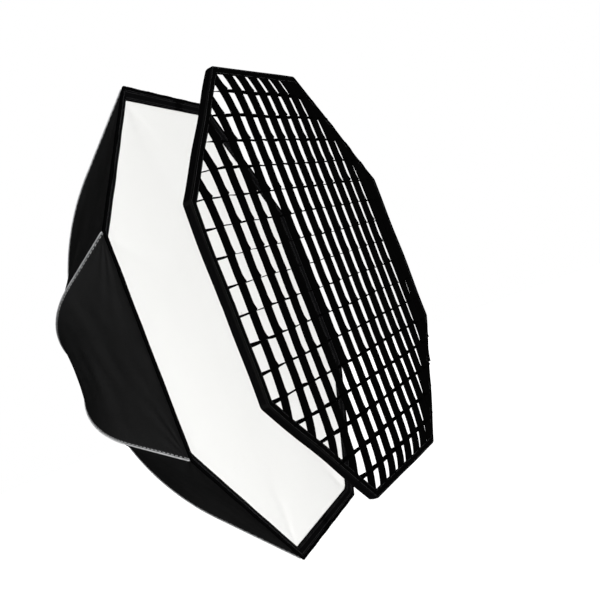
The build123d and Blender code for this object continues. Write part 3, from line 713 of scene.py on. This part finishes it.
def octagon_disc(flat, fillet, rings, per_side):
    """Rings of points from the middle of an octagon out to its edge, and how far out each ring is."""
    shares = np.linspace(0.004, 1, rings)
    loops = [octagon_loop(flat * s, fillet * s, 0.0, per_side=per_side, per_corner=3) for s in shares]
    return np.stack(loops), shares[:, None]


def creases(points, seed, spread=0.28):
    """Soft folds that fan out from the corners of a stretched octagon sheet."""
    rng = np.random.default_rng(seed)
    x, z = points[..., 0], points[..., 2]
    height = np.zeros(x.shape)
    for angle in RIM_ANGLES:
        corner = DIFFUSER_FLAT / TO_FLAT * direction(angle)
        for _ in range(5):
            heading = angle + np.pi + rng.uniform(-spread, spread)
            dx, dz = x - corner[0], z - corner[2]
            ahead = dx * math.cos(heading) + dz * math.sin(heading)
            off = -dx * math.sin(heading) + dz * math.cos(heading)
            width = 0.012 + 0.075 * np.clip(ahead, 0, None)
            reach = rng.uniform(0.15, 0.5)
            fold = np.exp(-(off / width) ** 2) * np.exp(-np.clip(ahead, 0, None) / reach)
            height += rng.uniform(0.4, 1.0) * fold * np.clip(ahead / 0.05, 0, 1)
    return height


def make_front_diffuser():
    points, edge = octagon_disc(DIFFUSER_FLAT, 0.02, 110, 40)
    free = np.clip((1 - edge) / 0.06, 0, 1)
    free = free * free * (3 - 2 * free)
    sag = 0.010 * (1 - edge ** 2)
    drift = 0.0007 * waves(points[..., 0], points[..., 2], 0.60, 11)
    fine = 0.00008 * waves(points[..., 0], points[..., 2], 0.10, 12)
    folds = 0.0009 * creases(points, 21, 0.45)
    points[..., 1] = DIFFUSER_Y + SHEET_LIFT + free * np.clip(sag + drift + fine + folds, 0, None)
    cloth = surface("diffuser_cloth", points, [WHITE], wrap_columns=True, flip=True)
    thicken(cloth, SHEET_THICKNESS)
    finish_piece(cloth, "octabox", ["front_diffuser"])


def make_inner_diffuser():
    points, edge = octagon_disc(INNER_FLAT, 0.008, 60, 24)
    drift = 0.0015 * waves(points[..., 0], points[..., 2], 0.3, 31) * (1 - edge ** 4)
    points[..., 1] = INNER_Y + SHEET_LIFT + 0.012 * (1 - edge ** 2) + drift
    cloth = surface("inner_diffuser_cloth", points, [INNER_WHITE], wrap_columns=True, flip=True)
    thicken(cloth, SHEET_THICKNESS)
    finish_piece(cloth, "octabox", ["inner_diffuser"])


make_front_diffuser()
make_inner_diffuser()


# grid --------------------------------------------------------------------------------------------

GRID_SLACK = 0.026  # how far the middle cells stand forward
BORDER_TURN = 0.0025  # radius of the border's edge, where its wall turns into its flange
WALL_STATIONS = 6  # along the wall of the border, before it turns in
STRIP_FRONT = -0.0105
STRIP_BACK = 0.012
STRIP_DEPTHS = np.linspace(-1, 1, 7)
STRIP_THICKNESS = 0.0014


def swung(points):
    """From the flat grid, about the middle of its depth, to where it hangs in the frame."""
    c, s = math.cos(-GRID_YAW), math.sin(-GRID_YAW)
    turn = np.array([[c, -s, 0], [s, c, 0], [0, 0, 1]])
    return (points + [GRID_FLAT + GRID_HINGE_OUT, 0, 0]) @ turn.T + GRID_HINGE


def slack(x, z):
    """How far the loose cells stand forward of the border, in the plane of the grid."""
    x, z = np.abs(x) / GRID_FLAT, np.abs(z) / GRID_FLAT
    corner = np.clip((x + z) / math.sqrt(2), 0, 1)
    return GRID_SLACK * (1 - np.clip(x, 0, 1) ** 12) * (1 - np.clip(z, 0, 1) ** 12) * (1 - corner ** 16)


def grid_fillet(flat):
    inner = GRID_FLAT - GRID_FLANGE_WIDTH
    return float(np.interp(flat, [inner, GRID_FLAT], [0.006, 0.016]))


def border_sway(points):
    """How far the sewn border is out of flat, along its depth and its width."""
    angle = round_angle(points)
    free = np.clip((points[..., 0] + GRID_FLAT) / 0.15, 0, 1)
    wide = 0.0009 * free * waves(angle * 0.65, 0 * angle, 0.22, 62)
    return 0.0015 * waves(angle * 0.65, 0 * angle, 0.30, 61), wide


def make_grid_border():
    outer = GRID_FLAT - GRID_WALL / 2
    front = -GRID_HALF_DEPTH + GRID_WALL / 2
    turned = outer - BORDER_TURN
    line = [(outer, y) for y in np.linspace(GRID_HALF_DEPTH, front + BORDER_TURN, WALL_STATIONS)]
    for turn in np.linspace(0, np.pi / 2, 5)[1:]:
        deep = front + BORDER_TURN - BORDER_TURN * math.sin(turn)
        line.append((turned + BORDER_TURN * math.cos(turn), deep))
    line += [(flat, front) for flat in np.linspace(turned, GRID_FLAT - GRID_FLANGE_WIDTH, 7)[1:]]
    points = octagon_sweep(band_section(line, GRID_WALL), grid_fillet)
    deep, wide = border_sway(points)
    points[..., 1] += deep
    points += wide[..., None] * outward_of(points)
    # the border's wall takes the lighter copy of the grid cloth as painted light; its flange takes the grid
    # cloth itself
    frame_band = surface("grid_frame", swung(points), [GRID_WALL_PAINTED_LIGHT, GRID_CLOTH], wrap_rows=True,
                         wrap_columns=True, flip=True)
    strip = np.arange(len(frame_band.data.polygons)) // points.shape[1]
    frame_band.data.polygons.foreach_set("material_index", (strip > WALL_STATIONS).astype(np.int32))
    finish_piece(frame_band, "grid", ["grid_border"])
    rows = []
    for inset in (0.004, GRID_FLANGE_WIDTH - 0.003):
        loop = octagon_loop(GRID_FLAT - inset, grid_fillet(GRID_FLAT - inset), -GRID_HALF_DEPTH - 0.0002)
        loop[:, 1] += border_sway(loop)[0]
        rows.append(swung(np.concatenate([loop, loop[:1]])))
    sewing = stitch_rows("grid_stitching", rows, THREAD)
    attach(sewing, "grid")


def strip_reach(place):
    """Half the length of the ribbon at this place, short of the border all round."""
    inside = GRID_FLAT - GRID_WALL
    return min(inside, inside * math.sqrt(2) - abs(place) - 0.004) - 0.0006


def strip_points(place, upright, seed):
    """One ribbon of the grid, as (along, depth) points: slack between crossings and twisted at its ends."""
    rng = np.random.default_rng(seed)
    reach = strip_reach(place)
    along = np.linspace(-reach, reach, int(2 * reach / 0.0045))
    cells = along / CELL + GRID_CELLS / 2
    cell = np.clip(cells.astype(int), 0, GRID_CELLS - 1)
    share = cells - cell
    from_end = reach - np.abs(along)
    depth = STRIP_DEPTHS[None]
    half = (STRIP_BACK - STRIP_FRONT) / 2
    middle = (STRIP_BACK + STRIP_FRONT) / 2
    drift = 0.0012 * waves(along, 0 * along, 0.35, seed + 1)
    bow = np.sin(np.pi * share) * rng.uniform(-0.0016, 0.0016, GRID_CELLS)[cell]
    if upright:
        pull = np.clip(1 - share / 0.36, 0, 1) ** 2 * rng.uniform(0.3, 1.2, GRID_CELLS)[cell]
        front_edge = np.clip(-depth, 0, 1) ** 2
        aside = (drift + bow)[:, None] + 0.0045 * pull[:, None] * front_edge
        deep = middle + half * depth - 0.0040 * pull[:, None] * front_edge
    else:
        ends = np.where(along < 0, rng.uniform(0.15, 0.5), rng.uniform(-0.2, 0.2))
        twist = 0.09 + ends * np.exp(-from_end / 0.03)
        twist = twist + 0.22 * np.sin(np.pi * share) * rng.uniform(-0.6, 1, GRID_CELLS)[cell]
        aside = (drift + bow)[:, None] + half * depth * np.sin(twist)[:, None]
        deep = middle + half * depth * np.cos(twist)[:, None]
    along = np.broadcast_to(along[:, None], aside.shape)
    deep = deep - slack(along, place)
    if upright:
        return swung(np.stack([place + aside, deep, along], -1))
    return swung(np.stack([along, deep, place + aside], -1))


def make_grid_strips():
    for name, upright, cad in (("grid_upright_ribbons", True, "grid_vertical_strips"),
                               ("grid_level_ribbons", False, "grid_horizontal_strips")):
        parts = [strip_points(place, upright, 100 * k + upright) for k, place in enumerate(STRIP_PLACES)]
        ribbons = joined(name, parts, [GRID_CLOTH])
        solid = thicken(ribbons, STRIP_THICKNESS).modifiers["thickness"]
        solid.offset = 0
        finish_piece(ribbons, "grid", [cad])


make_grid_border()
make_grid_strips()


# hub ---------------------------------------------------------------------------------------------

COLLAR_THICKNESS = 0.0010


def make_rear_collar():
    """Fabric ring behind the speedring, gathered at its inner edge."""
    low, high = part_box("rear_collar")
    outer = high.x
    profile = [(0.0826, high.y - 0.0008), (0.090, high.y - 0.0002), (0.104, high.y - 0.0006),
               (0.116, high.y - 0.0040), (outer, low.y + 0.0008)]
    along = np.linspace(0, len(profile) - 1, 25)
    flats, depths = [np.interp(along, range(len(profile)), values) for values in zip(*profile)]
    around = np.linspace(0, 2 * np.pi, 481)[:-1]
    rows = []
    for flat, depth in zip(flats, depths):
        share = (flat - flats[0]) / (outer - flats[0])
        gather = 0.0009 * (1 - share) * np.sin(64 * around + np.sin(5 * around))
        sway = 0.0006 * share * np.sin(8 * around)
        y = depth + gather + sway - COLLAR_THICKNESS
        rows.append(np.stack([flat * np.cos(around), y, flat * np.sin(around)], 1))
    collar = surface("rear_collar_cloth", np.stack(rows), [SHELL], wrap_columns=True, flip=True)
    thicken(collar, COLLAR_THICKNESS)
    finish_piece(collar, "octabox", ["rear_collar"])


make_rear_collar()

coat(["adapter_ring"], SPUN)
coat(["clamp_ear_knob_side", "clamp_ear_nut_side", "ear_rivets", "clamp_nut", "clamp_washer",
      "clamp_spring", "clamp_screw", "tab_screws"], ZINC)
coat(["clamp_knob"], KNOB)
coat(["speedring", "rod_sockets"] + [f"retaining_tab_{k + 1}" for k in range(4)], CAST)
coat(["rod_tips"], CAP)
coat(["corner_pockets"], STRAP)
coat(["inner_straps", "strap_loops"], ELASTIC)
coat(["grid_loop_tape", "grid_edge_tape"], TAPE)
coat([f"rib_rod_{k + 1}" for k in range(SIDES)], ROD)


# floor and light ---------------------------------------------------------------------------------

FLOOR_Z = CAD_LOW.z - 1.7
FLOOR_RADIUS = 30.0


def make_floor():
    """Pale floor far below, white to the camera like the surroundings, so that its edge doesn't show."""
    made, tree, bsdf = material("pale_floor", Roughness=0.9)
    place = node(tree, "ShaderNodeTexCoord").outputs["Object"]
    mottle = noise(tree, place, 1.5, 2.0)
    tree.links.new(mixed(tree, mottle, (0.28, 0.28, 0.28), (0.32, 0.32, 0.32)), bsdf.inputs["Base Color"])
    bsdf.inputs["Emission Color"].default_value = (1, 1, 1, 1)
    seen = node(tree, "ShaderNodeLightPath").outputs["Is Camera Ray"]
    tree.links.new(ranged(tree, seen, 0.0, 1.0), bsdf.inputs["Emission Strength"])
    turn = np.linspace(0, 2 * np.pi, 97)[:-1]
    radii = np.array([0.01, 1, 3, 8, FLOOR_RADIUS])[:, None]
    level = np.full((len(radii), len(turn)), FLOOR_Z)
    points = np.stack([radii * np.cos(turn), radii * np.sin(turn), level], -1)
    floor = surface("floor", points, [made], wrap_columns=True, flip=True)


def add_lamp(name, data, towards):
    lamp = bpy.data.objects.new(name, data)
    bpy.context.scene.collection.objects.link(lamp)
    lamp.rotation_mode = "QUATERNION"
    lamp.rotation_quaternion = Vector(towards).to_track_quat("-Z", "Y")
    return lamp


def make_sun(name, towards, strength, softness):
    """A far lamp, so that its light is as strong all over the object."""
    data = bpy.data.lights.new(name, "SUN")
    data.energy = strength
    data.angle = softness
    return add_lamp(name, data, towards)


def make_disk(name, place, target, size, power):
    """A round soft box."""
    data = bpy.data.lights.new(name, "AREA")
    data.shape = "DISK"
    data.size = size
    data.energy = power
    lamp = add_lamp(name, data, Vector(target) - Vector(place))
    lamp.location = place
    return lamp


def without_shade(lamp, things):
    """Let a lamp shine past these things, so that they cast no shadow in its light."""
    group = bpy.data.collections.new(lamp.name + "_unshaded")
    for thing in things:
        group.objects.link(thing)
    lamp.light_linking.blocker_collection = group
    for member in group.collection_objects:
        member.light_linking.link_state = "EXCLUDE"


def make_world():
    """White to the eye and in polished metal, and dim as a light on cloth."""
    world = bpy.data.worlds.new("studio")
    bpy.context.scene.world = world
    world.use_nodes = True
    tree = world.node_tree
    path = node(tree, "ShaderNodeLightPath")
    seen = ranged(tree, path.outputs["Is Camera Ray"], 0.06, 1.0)
    mirrored = ranged(tree, path.outputs["Is Glossy Ray"], 0.0, 0.85)
    background = tree.nodes["Background"]
    background.inputs[0].default_value = (1, 1, 1, 1)
    tree.links.new(math_node(tree, "ADD", seen, mirrored), background.inputs[1])


GRID_PIECES = [bpy.data.objects[name] for name in (
    "grid_frame", "grid_stitching", "grid_upright_ribbons", "grid_level_ribbons", "grid_loop_tape",
    "grid_edge_tape")]

make_floor()
make_world()
key = make_sun("key", towards=(0.77, 0.64, 0.03), strength=5.4, softness=0.5)
front = make_disk("front_soft", place=(-2.0, -3.2, -1.5), target=(0, RIM_Y, 0), size=1.4, power=62)
make_sun("rear_fill", towards=(-0.92, -0.25, -0.30), strength=2.0, softness=0.6)
for lamp in (key, front):
    without_shade(lamp, GRID_PIECES)
bpy.context.scene.view_settings.view_transform = "Standard"
